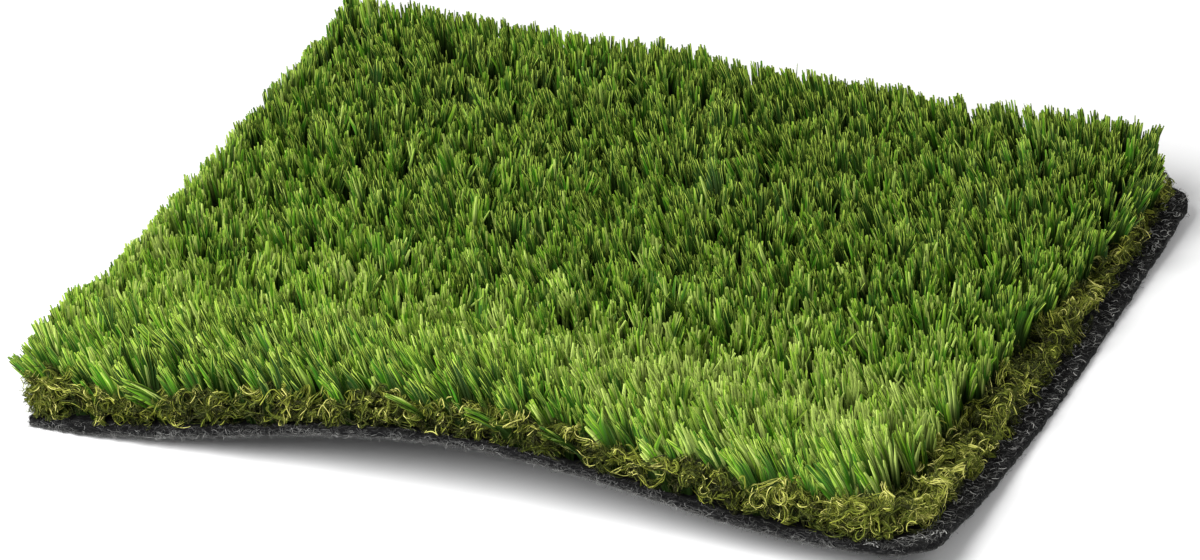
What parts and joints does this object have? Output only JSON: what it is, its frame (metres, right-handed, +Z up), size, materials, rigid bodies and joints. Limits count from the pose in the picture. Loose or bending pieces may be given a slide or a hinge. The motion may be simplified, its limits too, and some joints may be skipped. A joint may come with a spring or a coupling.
{
  "type": "cut piece of artificial turf",
  "caption": "Nearly square cut piece of artificial turf with a black felt backing, olive thatch and green blades, lying with its front edge lifted in a low wave.",
  "frame": {"origin": "on the ground, under the middle of the piece", "axes": "+X to the right along the front edge, +Y from the front edge to the back edge, +Z up through the pile"},
  "size_m": [0.42, 0.378, 0.0628],
  "materials": {
    "backing_felt": "non-woven black felt, matt and fuzzy at the cut edges",
    "thatch_yarn": "crimped olive and tan yarn, dull",
    "blade_yarn": "soft green ribbon yarn, satin"
  },
  "bodies": {
    "root": {"backing": "backing_felt", "thatch": "thatch_yarn", "grass_blades": "blade_yarn"}
  },
  "joints": []
}
